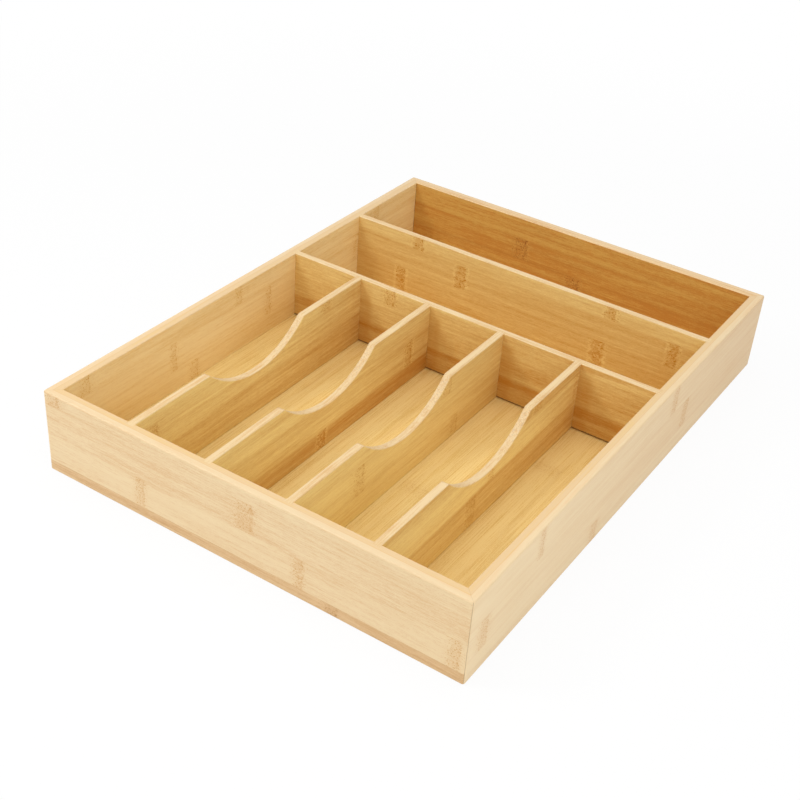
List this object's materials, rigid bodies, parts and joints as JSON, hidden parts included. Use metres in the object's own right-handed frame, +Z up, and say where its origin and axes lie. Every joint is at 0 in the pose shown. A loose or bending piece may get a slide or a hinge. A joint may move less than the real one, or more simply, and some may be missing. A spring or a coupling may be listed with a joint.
{
  "type": "drawer organizer",
  "caption": "Open-top bamboo tray for a kitchen drawer: mitred walls, a grooved-in floor, dividers across it, and scooped dividers along it that make long cutlery slots.",
  "frame": {"origin": "middle of the footprint, on the surface that the tray stands on", "axes": "+X to the right along the front, +Y from the long compartments to the back, +Z up"},
  "size_m": [0.33, 0.442, 0.0635],
  "materials": {
    "wall_bamboo": "pale natural bamboo, sanded smooth, thin clear satin lacquer",
    "strip_bamboo": "darker caramel bamboo strip, sanded smooth, thin clear satin lacquer",
    "divider_bamboo": "natural bamboo, sanded smooth, thin clear satin lacquer",
    "floor_bamboo": "natural bamboo sheet, fine straight grain, thin clear satin lacquer"
  },
  "bodies": {
    "root": {"front_board": "wall_bamboo", "back_board": "wall_bamboo", "left_board": "wall_bamboo", "right_board": "wall_bamboo", "front_lower_strip": "strip_bamboo", "front_cross_divider": "divider_bamboo", "rear_cross_divider": "divider_bamboo", "long_divider_1": "divider_bamboo", "long_divider_2": "divider_bamboo", "long_divider_3": "divider_bamboo", "long_divider_4": "divider_bamboo", "floor_panel": "floor_bamboo"}
  },
  "joints": []
}
